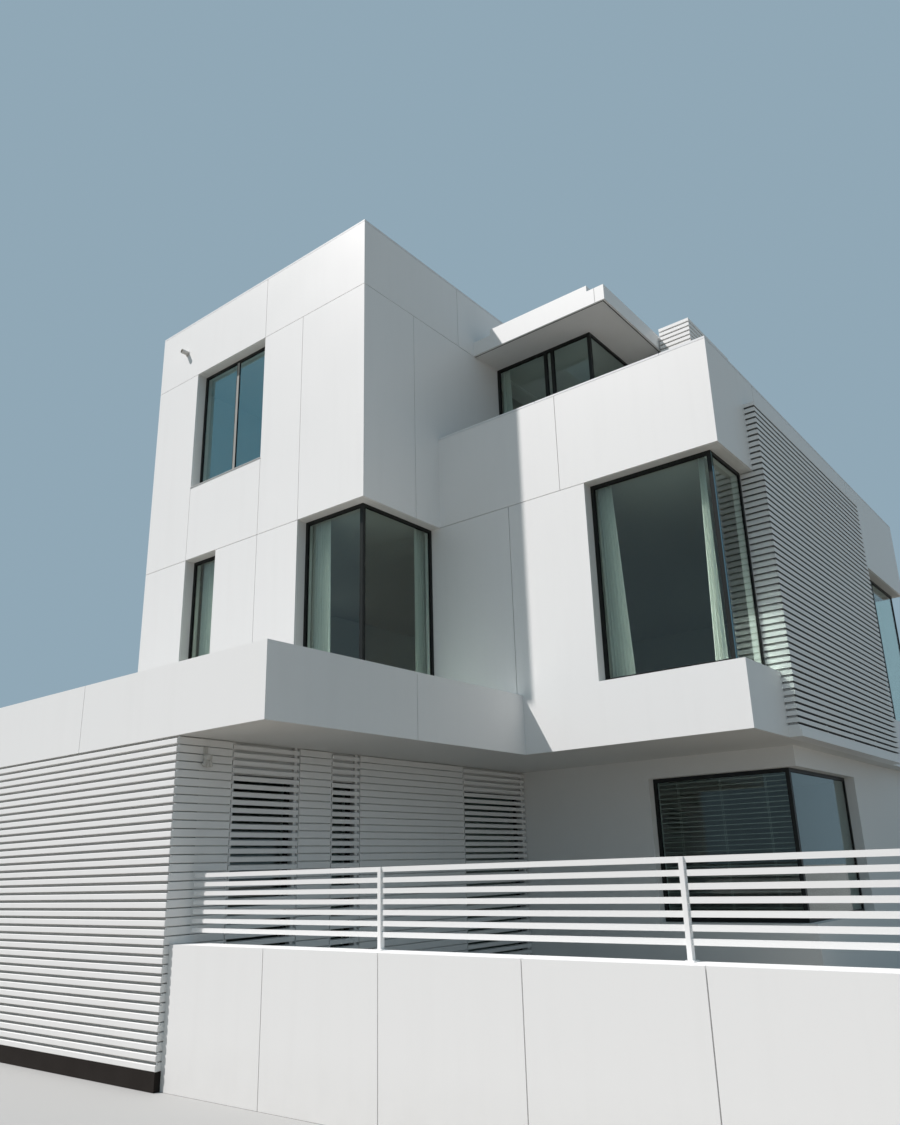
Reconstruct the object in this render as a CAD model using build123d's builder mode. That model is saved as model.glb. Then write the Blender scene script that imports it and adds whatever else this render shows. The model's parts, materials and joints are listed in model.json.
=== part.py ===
from build123d import *
import os

# A detached house of white cladding panels: a three-storey tower, a wider
# two-storey block beside it, a set-back penthouse, and a low wing whose ledge
# wraps round the tower's corner. Millimetres, +Z up. In this file X is measured
# from the tower's right face and Y from its front face, towards the rear. The
# part's origin is on the ground under the middle of the whole outline.

# Levels, each from the one below
plinth_height = 150
ground_storey_clear = 2700
floor_build_up = 450
ledge_upstand = 230
sill_height = 250
first_storey_clear = 2370
lintel_height = 380
upper_sill_height = 740
parapet_height = 920
second_storey_clear = 2620
tower_parapet = 1000
penthouse_fascia = 230
kerb_height = 95

# Plan
tower_width = 4460
block_width = 3850
block_setback = 1450
block_depth = 8000
ledge_projection = 2360
ledge_reach = 1180
ground_setback = 1680
ground_inset = 200

# Walls and slabs
wall = 250
skin = 30
open_joint = 8
slab_thickness = 350
roof_thickness = 200
coping_thickness = 25
coping_gap = 5
coping_joints = (1570, 3290)

# Windows
window_recess = 150
frame_bar = 40
mullion_width = 50
glass_thickness = 24
window_offset = 965
upper_window_width = 1550
narrow_window_width = 680
tower_corner_width = 1160
block_window_width = 1660
block_window_return = 990
rear_window_return = 2760
ground_window_width = 1810
ground_window_return = 2230
ground_sill = 970
ground_head = 2620
ground_recess = 120
rear_narrow_inset = 350
side_window_start = 2350
side_window_spacing = 4000
side_window_width = 750
penthouse_bar_place = 857
penthouse_bar_spacing = 118

# Horizontal slats and boards
slat_count = 37
slat_height = 48
slat_edge = 4
board_height = 65
blade_height = 42
blade_rake = 8
louvre_clearance = 12
louvre_stile = 40
louvre_head = 300
front_louvre_offset = 620
front_louvre_width = 850
middle_louvre_offset = 1906
middle_louvre_width = 431
rear_louvre_width = 1347

# Side screen on the block
screen_depth = 125
screen_bar = 40
screen_count = 53
screen_length = 4250
screen_trim_height = 75
screen_overhang = 15
batten_width = 60
batten_count = 5

# Penthouse
penthouse_width = 1640
penthouse_setback = 1490
penthouse_depth = 4460
roof_overhang_front = 590
roof_overhang_side = 580
fascia_drip = 15
kerb_offset = 310
kerb_length = 1650

# Slatted enclosure on the roof terrace
enclosure_setback = 2550
enclosure_gap = 20
enclosure_width = 475
enclosure_depth = 1500
enclosure_rise = 100
enclosure_slat = 20
enclosure_rows = 40

# Boundary wall and railing
boundary_bays = 6
boundary_bay = 1196
boundary_height = 1100
boundary_thickness = 220
boundary_setback = 60
post_width = 30
post_depth = 40
post_inset = 20
first_post = 2255
post_spacing = 2370
post_count = 3
rail_height = 35
rail_depth = 14
rail_pitch = 74
rail_count = 7
rail_clear = 86
rail_end = 57

# Fittings
lamp_width = 110
lamp_height = 200
lamp_projection = 90
lamp_drop = 280
spout_offset = 650
spout_drop = 510
spout_radius = 27
spout_thickness = 3
spout_reach = 110
curtain_width = 410
curtain_lap = 100
curtain_corner_gap = 150
curtain_depth = 60
curtain_gap = 20
curtain_hem = 20
blind_thickness = 25
blind_gap = 20

# Levels above the ground
soffit = plinth_height + ground_storey_clear
first_floor = soffit + floor_build_up
ledge_top = first_floor + ledge_upstand
first_sill = first_floor + sill_height
first_head = first_sill + first_storey_clear
second_floor = first_head + lintel_height
upper_sill = second_floor + upper_sill_height
parapet_top = second_floor + parapet_height
second_head = second_floor + second_storey_clear
tower_top = second_head + tower_parapet
penthouse_soffit = second_head + fascia_drip + 10
penthouse_top = penthouse_soffit - fascia_drip + penthouse_fascia

# Faces in plan
shell = wall + skin
left = -tower_width
rear = block_setback + block_depth
front = -ledge_projection
recess_front = block_setback + ground_setback
ground_right = block_width - ground_inset
penthouse_front = block_setback + penthouse_setback
penthouse_rear = penthouse_front + penthouse_depth
boundary_front = front + boundary_setback
boundary_length = boundary_bays * boundary_bay
middle_x = (left + boundary_length) / 2
middle_y = (front + rear) / 2
window_left = left + window_offset
upper_window_right = window_left + upper_window_width
narrow_window_right = window_left + narrow_window_width
corner_window_left = -tower_corner_width
block_window_left = block_width - block_window_width
block_window_end = block_setback + block_window_return
rear_window_start = rear - rear_window_return
ground_window_left = ground_right - ground_window_width
ground_window_end = recess_front + ground_window_return
rear_narrow_right = ground_right - rear_narrow_inset
slat_pitch = ground_storey_clear / slat_count
slat_rows = [plinth_height + row * slat_pitch for row in range(slat_count)]
front_louvre = (front + front_louvre_offset, front + front_louvre_offset + front_louvre_width)
middle_louvre = (front + middle_louvre_offset, front + middle_louvre_offset + middle_louvre_width)
rear_louvre = (recess_front - rear_louvre_width, recess_front)
louvre_top = soffit - louvre_head
screen_bottom = soffit + screen_trim_height
screen_front = block_window_end
screen_rear = screen_front + screen_length
screen_rows = [screen_bottom + row * slat_pitch for row in range(screen_count)]
penthouse_glazed = penthouse_front + penthouse_depth / 2
enclosure_left = penthouse_width + roof_overhang_side + enclosure_gap
enclosure_right = enclosure_left + enclosure_width
enclosure_front = block_setback + enclosure_setback
enclosure_rear = enclosure_front + enclosure_depth
enclosure_top = penthouse_top + enclosure_rise
rail_middle = boundary_front + boundary_thickness - post_inset - post_depth / 2
rail_rows = [boundary_height + rail_clear + row * rail_pitch for row in range(rail_count)]
post_places = [first_post + post * post_spacing for post in range(post_count)]
lamp_bottom = soffit - lamp_drop
lamp_top = lamp_bottom + lamp_height


def plan(height):
    """Plane of a floor plan at a height."""
    return Plane(origin=(-middle_x, -middle_y, height))


def facing_front(back):
    """Plane of a front elevation, at the back face of what is extruded from it."""
    return Plane(origin=(-middle_x, back - middle_y, 0), x_dir=(1, 0, 0), z_dir=(0, -1, 0))


def facing_right(inner):
    """Plane of a right elevation, at the inner face of what is extruded from it."""
    return Plane(origin=(inner - middle_x, -middle_y, 0), x_dir=(0, 1, 0), z_dir=(1, 0, 0))


def rectangle(low, high, bottom, top, mode=Mode.ADD):
    """Rectangle in the open sketch, given by its edges."""
    with Locations(((low + high) / 2, (bottom + top) / 2)):
        Rectangle(high - low, top - bottom, mode=mode)


def sheet(plane, outline, thickness, openings=()):
    """A wall, slab or skin: an outline with its openings and open joints cut out."""
    with BuildPart() as body:
        with BuildSketch(plane):
            with BuildLine():
                Polyline(*outline, close=True)
            make_face()
            for low, high, bottom, top in openings:
                rectangle(low, high, bottom, top, Mode.SUBTRACT)
        extrude(amount=thickness)
    return body.part


def corners(low, high, bottom, top):
    """The four corners of a rectangle, as an outline."""
    return [(low, bottom), (high, bottom), (high, top), (low, top)]


def upright_joint(place, bottom, top):
    """Open joint between two panels side by side."""
    return (place - open_joint / 2, place + open_joint / 2, bottom, top)


def level_joint(height, low, high):
    """Open joint between two panels, one above the other."""
    return (low, high, height - open_joint / 2, height + open_joint / 2)


def slat_section(face, back, row, height):
    """Section of one slat in the open sketch, its two outer edges eased."""
    eased = face + slat_edge if back > face else face - slat_edge
    Polygon(
        (back, row), (eased, row), (face, row + slat_edge), (face, row + height - slat_edge),
        (eased, row + height), (back, row + height), align=None)


def save(part, label):
    """Name a finished piece and write it to its own file."""
    part.label = label
    export_step(part, f"parts/{label}.step")


# Openings, as low edge, high edge, bottom and top
upper_window = (window_left, upper_window_right, upper_sill, second_head)
narrow_window = (window_left, narrow_window_right, first_sill, first_head)
tower_corner_front = (corner_window_left, 0, first_sill, first_head)
block_window_front = (block_window_left, block_width, first_sill, first_head)
block_window_side = (block_setback, block_window_end, first_sill, first_head)
screened_window_side = (block_setback, screen_front + screen_bar, first_sill, first_head)
rear_window_side = (rear_window_start, rear, first_sill, first_head)
ground_window_front = (ground_window_left, ground_right, ground_sill, ground_head)
ground_window_side = (recess_front, ground_window_end, ground_sill, ground_head)
louvre_bays = (front_louvre, middle_louvre, rear_louvre)
louvre_openings = [(low, high, plinth_height, louvre_top) for low, high in louvre_bays]
rear_openings = [
    upper_window,
    (window_left, upper_window_right, first_sill, first_head),
    (window_left, upper_window_right, ground_sill, ground_head),
    (rear_narrow_right - narrow_window_width, rear_narrow_right, ground_sill, ground_head),
]
left_columns = (side_window_start, side_window_start + side_window_spacing)
left_openings = [
    (column, column + side_window_width, bottom, top)
    for column in left_columns
    for bottom, top in ((first_sill, first_head), (upper_sill, second_head))
]


def ground_floor():
    """Floor inside the ground storey's walls."""
    inside = [
        (left + shell, front + shell), (-shell, front + shell), (-shell, recess_front + shell),
        (ground_right - shell, recess_front + shell), (ground_right - shell, rear - shell),
        (left + shell, rear - shell),
    ]
    return sheet(plan(0), inside, plinth_height)


def first_slab():
    """First floor, soffit of the overhangs and upstand of the ledge's roof, in one piece."""
    inside = [
        (left + shell, front + shell), (ledge_reach - shell, front + shell),
        (ledge_reach - shell, block_setback + shell), (block_width - shell, block_setback + shell),
        (block_width - shell, rear - shell), (left + shell, rear - shell),
    ]
    with BuildPart() as body:
        with BuildSketch(plan(soffit)):
            with BuildLine():
                Polyline(*inside, close=True)
            make_face()
        extrude(amount=floor_build_up)
        with BuildSketch(plan(soffit)):
            rectangle(left + skin, ledge_reach - skin, front + skin, front + shell)
            rectangle(ledge_reach - shell, ledge_reach - skin, front + skin, block_setback + skin)
        extrude(amount=ledge_top - soffit)
    return body.part


def second_slab():
    """Second floor and the block's roof terrace."""
    inside = [
        (left + shell, shell), (-shell, shell), (-shell, block_setback + shell),
        (block_width - shell, block_setback + shell), (block_width - shell, rear - shell),
        (left + shell, rear - shell),
    ]
    return sheet(plan(second_floor - slab_thickness), inside, slab_thickness)


def wing_front_wall():
    """Wall behind the wing's slats, from the ground to the ledge."""
    return sheet(facing_front(front + shell), corners(left + skin, -skin, 0, soffit), wall)


def wing_side_wall():
    """Wing wall beside the forecourt, with a rebate that takes the louvres' stiles."""
    with BuildPart() as body:
        with BuildSketch(facing_right(-shell)):
            rectangle(front + shell, recess_front + shell, 0, soffit)
            for low, high, bottom, top in louvre_openings:
                rectangle(low, high, bottom, top, Mode.SUBTRACT)
        extrude(amount=wall)
        with BuildSketch(facing_right(-shell + wall - skin)):
            for low, high in louvre_bays:
                rectangle(low, high, louvre_top, soffit)
        extrude(amount=skin, mode=Mode.SUBTRACT)
    return body.part


def recess_wall():
    """Rendered ground-storey wall under the block, open at its corner window."""
    outline = corners(-skin, ground_right, 0, soffit)
    return sheet(facing_front(recess_front + shell), outline, shell, [ground_window_front])


def ground_side_wall():
    """Rendered ground-storey wall on the right, under the block's side."""
    outline = corners(recess_front + shell, rear - shell, 0, soffit)
    return sheet(facing_right(ground_right - shell), outline, shell, [ground_window_side])


def left_wall():
    """Left wall in level bands: up to the first sills, between the storeys and up to the coping."""
    foot = [
        (front + shell, 0), (rear - shell, 0), (rear - shell, first_sill), (shell, first_sill),
        (shell, first_floor), (0, first_floor), (0, ledge_top), (front + shell, ledge_top),
    ]
    with BuildPart() as body:
        with BuildSketch(facing_right(left + skin)):
            with BuildLine():
                Polyline(*foot, close=True)
            make_face()
            rectangle(shell, rear - shell, first_head, upper_sill)
            rectangle(shell, rear - shell, second_head, tower_top - coping_thickness)
        extrude(amount=wall)
    return body.part


def left_wall_piers():
    """Piers of the left wall, beside and between the windows of both upper storeys."""
    with BuildPart() as body:
        with BuildSketch(facing_right(left + skin)):
            rectangle(shell, rear - shell, first_sill, first_head)
            rectangle(shell, rear - shell, upper_sill, second_head)
            for low, high, bottom, top in left_openings:
                rectangle(low, high, bottom, top, Mode.SUBTRACT)
        extrude(amount=wall)
    return body.part


def rear_wall():
    """Rear wall, stepped from the tower down to the block."""
    outline = [
        (left + skin, 0), (ground_right, 0), (ground_right, soffit), (block_width - skin, soffit),
        (block_width - skin, parapet_top - coping_thickness), (-skin, parapet_top - coping_thickness),
        (-skin, tower_top - coping_thickness), (left + skin, tower_top - coping_thickness),
    ]
    openings = [*rear_openings, block_window_front]
    return sheet(facing_front(rear - skin), outline, wall, openings)


def tower_front_wall():
    """Tower front, with two windows and the open corner below."""
    outline = corners(left + skin, -skin, first_floor, tower_top - coping_thickness)
    openings = [upper_window, narrow_window, tower_corner_front]
    return sheet(facing_front(shell), outline, wall, openings)


def tower_side_wall():
    """Tower's right wall above the corner window, and the upstand under the window."""
    outline = [
        (shell, first_head), (block_setback + shell, first_head), (block_setback + shell, second_floor),
        (penthouse_front + frame_bar, second_floor), (penthouse_front + frame_bar, second_head),
        (penthouse_rear - shell, second_head), (penthouse_rear - shell, second_floor),
        (rear - shell, second_floor), (rear - shell, tower_top - coping_thickness),
        (shell, tower_top - coping_thickness),
    ]
    with BuildPart() as body:
        with BuildSketch(facing_right(-shell)):
            with BuildLine():
                Polyline(*outline, close=True)
            make_face()
            rectangle(shell, block_setback, first_floor, first_sill)
        extrude(amount=wall)
    return body.part


def block_front_wall():
    """Block front, open at its corner window and stepped over the ledge."""
    outline = [
        (-shell, first_floor), (ledge_reach - shell, first_floor), (ledge_reach - shell, soffit),
        (block_width - skin, soffit), (block_width - skin, parapet_top - coping_thickness),
        (0, parapet_top - coping_thickness), (0, first_head), (-shell, first_head),
    ]
    return sheet(facing_front(block_setback + shell), outline, wall, [block_window_front])


def block_side_wall():
    """Block's right wall, open at both corner windows and rebated for the screen's slats."""
    with BuildPart() as body:
        with BuildSketch(facing_right(block_width - shell)):
            rectangle(block_setback + shell, rear - shell, soffit, parapet_top - coping_thickness)
            for low, high, bottom, top in (block_window_side, rear_window_side):
                rectangle(low, high, bottom, top, Mode.SUBTRACT)
        extrude(amount=wall)
        with BuildSketch(facing_right(block_width - window_recess)):
            rectangle(screen_front, screen_front + screen_bar, first_sill, first_head)
        extrude(amount=window_recess, mode=Mode.SUBTRACT)
    return body.part


def tower_roof():
    """Roof slab inside the tower's parapet."""
    inside = corners(left + shell, -shell, shell, rear - shell)
    return sheet(plan(second_head + roof_thickness), inside, roof_thickness)


def tower_front_panels():
    """Cladding of the tower front, jointed in line with its windows."""
    top = tower_top - coping_thickness - coping_gap
    joints = [
        level_joint(second_head, left, 0),
        level_joint(first_head, left, 0),
        upright_joint(upper_window_right, second_head, top),
        upright_joint(corner_window_left, first_head, second_head),
        upright_joint(window_left, first_head, upper_sill),
        upright_joint(upper_window_right, first_floor, upper_sill),
    ]
    outline = [
        (left + skin, first_floor), (0, first_floor), (0, top), (left, top),
        (left, ledge_top), (left + skin, ledge_top),
    ]
    openings = [upper_window, narrow_window, tower_corner_front, *joints]
    return sheet(facing_front(skin), outline, skin, openings)


def tower_side_panels():
    """Cladding of the tower's right side, down to the corner window and the terrace."""
    top = tower_top - coping_thickness - coping_gap
    outline = [
        (skin, first_head), (block_setback + shell, first_head), (block_setback + shell, second_floor),
        (penthouse_front, second_floor), (penthouse_front, second_head),
        (penthouse_rear, second_head), (penthouse_rear, second_floor),
        (rear - shell, second_floor), (rear - shell, parapet_top - coping_thickness),
        (rear - skin, parapet_top - coping_thickness), (rear - skin, top), (skin, top),
    ]
    side_joint = 970
    band_joint = 1970
    band_panel = 2500
    joints = [
        level_joint(second_head, 0, rear),
        upright_joint(side_joint, first_head, second_head),
        upright_joint(band_joint, second_head, top),
        upright_joint(band_joint + band_panel, second_head, top),
        upright_joint(band_joint + 2 * band_panel, second_head, top),
    ]
    return sheet(facing_right(-skin), outline, skin, joints)


def block_front_panels():
    """Cladding of the block front, from the ledge's end to the corner window."""
    top = parapet_top - coping_thickness - coping_gap
    outline = [
        (-shell, first_floor), (ledge_reach - shell, first_floor), (ledge_reach - shell, ledge_top),
        (ledge_reach, ledge_top), (ledge_reach, soffit), (block_width, soffit),
        (block_width, top), (0, top), (0, first_head), (-shell, first_head),
    ]
    low_joint = 1100
    high_joint = 1860
    joints = [
        level_joint(first_head, 0, block_width),
        upright_joint(low_joint, first_floor, first_head),
        upright_joint(high_joint, first_head, top),
    ]
    return sheet(facing_front(block_setback + skin), outline, skin, [block_window_front, *joints])


def block_side_panels():
    """Cladding of the block's right side, round the screen and the corner windows."""
    top = parapet_top - coping_thickness - coping_gap
    side_joint = 2850
    joints = [
        upright_joint(side_joint, first_head, top),
        upright_joint(screen_rear, first_head, top),
    ]
    outline = corners(block_setback + skin, rear - skin, soffit, top)
    openings = [screened_window_side, rear_window_side, *joints]
    return sheet(facing_right(block_width - skin), outline, skin, openings)


def ledge_panels():
    """Deep white band of the ledge, on the front and round the corner."""
    front_joint = left / 2 + 590
    side_joint = front + 1925
    with BuildPart() as body:
        with BuildSketch(plan(soffit)):
            rectangle(left, ledge_reach, front, front + skin)
            rectangle(ledge_reach - skin, ledge_reach, front, block_setback + skin)
        extrude(amount=ledge_top - soffit)
        with BuildSketch(plan(soffit)):
            rectangle(front_joint, front_joint + open_joint, front, front + skin)
            rectangle(ledge_reach - skin, ledge_reach, side_joint, side_joint + open_joint)
        extrude(amount=ledge_top - soffit, mode=Mode.SUBTRACT)
    return body.part


def left_panels():
    """Cladding of the left side, in storey-high panels between its windows."""
    top = tower_top - coping_thickness - coping_gap
    outline = [
        (front + skin, 0), (rear - skin, 0), (rear - skin, top), (skin, top),
        (skin, ledge_top), (front + skin, ledge_top),
    ]
    joints = [level_joint(height, front, rear) for height in (soffit, first_head, second_head)]
    joints += [upright_joint(column, 0, top) for column in left_columns]
    return sheet(facing_right(left), outline, skin, [*left_openings, *joints])


def rear_panels():
    """Cladding of the rear, jointed in line with its windows."""
    top = tower_top - coping_thickness - coping_gap
    block_top = parapet_top - coping_thickness - coping_gap
    outline = [
        (left, 0), (ground_right, 0), (ground_right, soffit), (block_width, soffit),
        (block_width, block_top), (0, block_top), (0, top), (left, top),
    ]
    joints = [level_joint(height, left, block_width) for height in (soffit, first_head, second_head)]
    joints += [upright_joint(place, 0, top) for place in (window_left, upper_window_right)]
    openings = [*rear_openings, block_window_front, *joints]
    return sheet(facing_front(rear), outline, skin, openings)


def middle_bar(low, high):
    """Edges of an upright bar halfway across a frame."""
    middle = (low + high) / 2
    return (middle - mullion_width / 2, middle + mullion_width / 2)


def ring(low, high, bottom, top, bars=()):
    """Window frame in the open sketch, with its upright bars given by their edges."""
    rectangle(low, high, bottom, top)
    rectangle(low + frame_bar, high - frame_bar, bottom + frame_bar, top - frame_bar, Mode.SUBTRACT)
    for bar in bars:
        rectangle(*bar, bottom, top)


def lights(low, high, bottom, top, bars=()):
    """Panes of one frame in the open sketch, between its upright bars."""
    edges = [low + frame_bar, *[edge for bar in bars for edge in bar], high - frame_bar]
    for start, end in zip(edges[::2], edges[1::2]):
        rectangle(start, end, bottom + frame_bar, top - frame_bar)


# Flat windows: outer face, then edges and upright bars, for each side of the house
front_windows = [
    (window_recess, [*upper_window, [middle_bar(*upper_window[:2])]]),
    (window_recess, [*narrow_window]),
]
wing_windows = [(-window_recess, [*opening]) for opening in louvre_openings]
rear_face = rear - window_recess - frame_bar
rear_windows = [(rear_face, [*opening, [middle_bar(*opening[:2])]]) for opening in rear_openings[:-1]]
rear_windows += [(rear_face, [*rear_openings[-1]])]
left_windows = [(left + window_recess + frame_bar, [*opening]) for opening in left_openings]

# Corner windows: far edge of the flat leg, corner, far edge of the side leg, way back
block_glass_line = block_width - window_recess
rear_glass_line = rear - window_recess
ground_glass_line = ground_right - ground_recess
tower_corner = (
    corner_window_left, -window_recess, window_recess, block_setback, first_sill, first_head, 1, [])
block_corner = (
    block_window_left, block_glass_line, block_setback + window_recess, block_window_end,
    first_sill, first_head, 1, [])
rear_corner = (
    block_window_left, block_glass_line, rear_glass_line, rear_window_start,
    first_sill, first_head, -1, [middle_bar(rear_window_start, rear_glass_line)])
ground_corner = (
    ground_window_left, ground_glass_line, recess_front + ground_recess, ground_window_end,
    ground_sill, ground_head, 1, [])
penthouse_corner = (
    0, penthouse_width, penthouse_front, penthouse_glazed, second_floor, penthouse_soffit, 1,
    [middle_bar(penthouse_front, penthouse_glazed)])
penthouse_bars = [
    (place, place + frame_bar) for place in (penthouse_bar_place, penthouse_bar_place + penthouse_bar_spacing)
]


def window_frames():
    """Frames of all flat windows, each a ring of its own."""
    with BuildPart() as body:
        for face, window in [*front_windows, *rear_windows]:
            with BuildSketch(facing_front(face + frame_bar)):
                ring(*window)
            extrude(amount=frame_bar)
        for face, window in [*wing_windows, *left_windows]:
            with BuildSketch(facing_right(face - frame_bar)):
                ring(*window)
            extrude(amount=frame_bar)
    return body.part


def corner_frame(low, corner_x, corner_y, end, bottom, top, turn, bars, front_bars=()):
    """Frame that turns an outer corner: one leg across, one leg along the right side."""
    with BuildPart() as body:
        with BuildSketch(facing_front(max(corner_y, corner_y + turn * frame_bar))):
            ring(low, corner_x, bottom, top, front_bars)
        extrude(amount=frame_bar)
        with BuildSketch(facing_right(corner_x - frame_bar)):
            ring(min(corner_y, end), max(corner_y, end), bottom, top, bars)
        extrude(amount=frame_bar)
    return body.part


def glass_front(face, window):
    """Panes of a window that faces the front or the rear."""
    with BuildPart() as body:
        with BuildSketch(facing_front(face + (frame_bar + glass_thickness) / 2)):
            lights(*window)
        extrude(amount=glass_thickness)
    return body.solids()


def glass_right(face, window):
    """Panes of a window that faces the left or the right."""
    with BuildPart() as body:
        with BuildSketch(facing_right(face - (frame_bar + glass_thickness) / 2)):
            lights(*window)
        extrude(amount=glass_thickness)
    return body.solids()


def glass_corner(low, corner_x, corner_y, end, bottom, top, turn, bars, front_bars=()):
    """Panes of both legs of a corner window."""
    face = min(corner_y, corner_y + turn * frame_bar)
    across = (low, corner_x, bottom, top, front_bars)
    along = (min(corner_y, end), max(corner_y, end), bottom, top, bars)
    return [*glass_front(face, across), *glass_right(corner_x, along)]


def window_glass():
    """Panes of every window, one or two to a frame."""
    panes = []
    for face, window in [*front_windows, *rear_windows]:
        panes += glass_front(face, window)
    for face, window in [*wing_windows, *left_windows]:
        panes += glass_right(face, window)
    for corner in (tower_corner, block_corner, rear_corner, ground_corner):
        panes += glass_corner(*corner)
    panes += glass_corner(*penthouse_corner, penthouse_bars)
    return Compound(children=panes)


def wing_plinth():
    """Dark base course of the wing, under the slats of its front and side."""
    with BuildPart() as body:
        with BuildSketch(plan(0)):
            rectangle(left, -slat_edge, front + slat_edge, front + skin)
            rectangle(-skin, -slat_edge, front + slat_edge, recess_front)
        extrude(amount=plinth_height)
    return body.part


def wing_front_slats():
    """Slats over the whole of the wing's front, their outer edges eased."""
    with BuildPart() as body:
        with BuildSketch(facing_right(left)):
            for row in slat_rows:
                slat_section(front, front + skin, row, slat_height)
        extrude(amount=tower_width)
    return body.part


def wing_side_boards():
    """Boards of the wing's side, in line with the slats and stopped at the louvres."""
    stretches = [
        (front + skin, front_louvre[0]), (front_louvre[1], middle_louvre[0]),
        (middle_louvre[1], rear_louvre[0]),
    ]
    with BuildPart() as body:
        for start, end in stretches:
            with BuildSketch(facing_front(end)):
                for row in slat_rows:
                    slat_section(0, -skin, row, board_height)
            extrude(amount=end - start)
    return body.part


def wing_louvres():
    """Three louvred panels: raked blades on stiles that stand in the wall's rebate."""
    with BuildPart() as body:
        for low, high in louvre_bays:
            start = low + louvre_clearance
            end = high - louvre_clearance
            with BuildSketch(facing_front(end)):
                for row in slat_rows:
                    raised = row + blade_rake
                    Polygon(
                        (0, row), (0, row + blade_height), (-skin, raised + blade_height), (-skin, raised),
                        align=None)
            extrude(amount=end - start)
            with BuildSketch(facing_right(-2 * skin)):
                rectangle(start, start + louvre_stile, plinth_height, soffit)
                rectangle(end - louvre_stile, end, plinth_height, soffit)
            extrude(amount=skin)
    return body.part


def side_screen():
    """Screen on the block's side: slats that wrap back to the wall, on upright battens."""
    outer = block_width + screen_depth
    top = screen_rows[-1] + slat_height
    spacing = (screen_length - 2 * screen_bar - batten_width) / (batten_count - 1)
    batten_places = [screen_front + screen_bar + i * spacing for i in range(batten_count)]
    with BuildPart() as body:
        with BuildSketch(plan(screen_bottom)):
            for place in batten_places:
                rectangle(block_width, outer - screen_bar, place, place + batten_width)
        extrude(amount=top - screen_bottom)
        with BuildSketch(facing_right(outer - screen_bar)):
            for row in screen_rows:
                rectangle(screen_front, screen_rear, row, row + slat_height)
        extrude(amount=screen_bar)
        with BuildSketch(facing_front(screen_front + screen_bar)):
            for row in screen_rows:
                beside_window = first_sill <= row and row + slat_height <= first_head
                start = block_width - window_recess if beside_window else block_width
                rectangle(start, outer - screen_bar, row, row + slat_height)
        extrude(amount=screen_bar)
        with BuildSketch(facing_front(screen_rear)):
            for row in screen_rows:
                rectangle(block_width, outer - screen_bar, row, row + slat_height)
        extrude(amount=screen_bar)
    return body.part


def side_screen_trim():
    """Trim under the screen, level with the soffit."""
    outer = block_width + screen_depth + screen_overhang
    return sheet(plan(soffit), corners(block_width, outer, screen_front, screen_rear), screen_trim_height)


def parapet_copings():
    """Thin caps on the tower's parapet and, cut into lengths, on the block's."""
    with BuildPart() as body:
        with BuildSketch(plan(tower_top - coping_thickness)):
            rectangle(left, 0, 0, rear)
            rectangle(left + shell, -shell, shell, rear - shell, Mode.SUBTRACT)
        extrude(amount=coping_thickness)
        with BuildSketch(plan(parapet_top - coping_thickness)):
            rectangle(0, block_width, block_setback, rear)
            rectangle(0, block_width - shell, block_setback + shell, rear - shell, Mode.SUBTRACT)
            for cut in coping_joints:
                rectangle(cut, cut + open_joint, block_setback, block_setback + shell, Mode.SUBTRACT)
        extrude(amount=coping_thickness)
    return body.part


def penthouse_roof():
    """Penthouse roof: a fascia that drops past the soffit, and a raised kerb on top."""
    right = penthouse_width + roof_overhang_side
    near = penthouse_front - roof_overhang_front
    with BuildPart() as body:
        with BuildSketch(plan(penthouse_soffit)):
            rectangle(0, right, near, penthouse_rear)
        extrude(amount=penthouse_top - penthouse_soffit)
        with BuildSketch(plan(penthouse_soffit - fascia_drip)):
            rectangle(0, right, near, near + skin)
            rectangle(right - skin, right, near, penthouse_rear)
        extrude(amount=fascia_drip)
        with BuildSketch(plan(penthouse_top)):
            rectangle(kerb_offset, kerb_offset + kerb_length, near, penthouse_rear - roof_overhang_side)
        extrude(amount=kerb_height)
    return body.part


def penthouse_walls():
    """Penthouse's rear wall and the closed end of its right wall."""
    with BuildPart() as body:
        with BuildSketch(plan(second_floor)):
            rectangle(0, penthouse_width, penthouse_rear - shell, penthouse_rear)
            rectangle(penthouse_width - shell, penthouse_width, penthouse_glazed, penthouse_rear)
        extrude(amount=penthouse_soffit - second_floor)
    return body.part


def roof_enclosure():
    """Closed shaft on the terrace beside the penthouse."""
    outline = corners(
        enclosure_left + enclosure_slat, enclosure_right - enclosure_slat,
        enclosure_front + enclosure_slat, enclosure_rear - enclosure_slat)
    return sheet(plan(second_floor), outline, enclosure_top - second_floor)


def roof_enclosure_slats():
    """Slats round all four sides of the shaft, closed at its corners."""
    rows = [enclosure_top - row * slat_pitch - slat_height for row in range(enclosure_rows)]
    with BuildPart() as body:
        with BuildSketch(facing_right(enclosure_left)):
            for row in rows:
                rectangle(enclosure_front, enclosure_rear, row, row + slat_height)
        extrude(amount=enclosure_right - enclosure_left)
        with BuildSketch(plan(second_floor)):
            rectangle(
                enclosure_left + enclosure_slat, enclosure_right - enclosure_slat,
                enclosure_front + enclosure_slat, enclosure_rear - enclosure_slat)
        extrude(amount=enclosure_top - second_floor, mode=Mode.SUBTRACT)
    return body.part


def boundary_wall():
    """Forecourt wall that runs on from the wing's corner."""
    outline = corners(0, boundary_length, boundary_front + skin, boundary_front + boundary_thickness)
    return sheet(plan(0), outline, boundary_height)


def boundary_panels():
    """White panels on the street side of the forecourt wall."""
    joints = [upright_joint(bay * boundary_bay, 0, boundary_height) for bay in range(1, boundary_bays)]
    outline = corners(0, boundary_length, 0, boundary_height)
    return sheet(facing_front(boundary_front + skin), outline, skin, joints)


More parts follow.
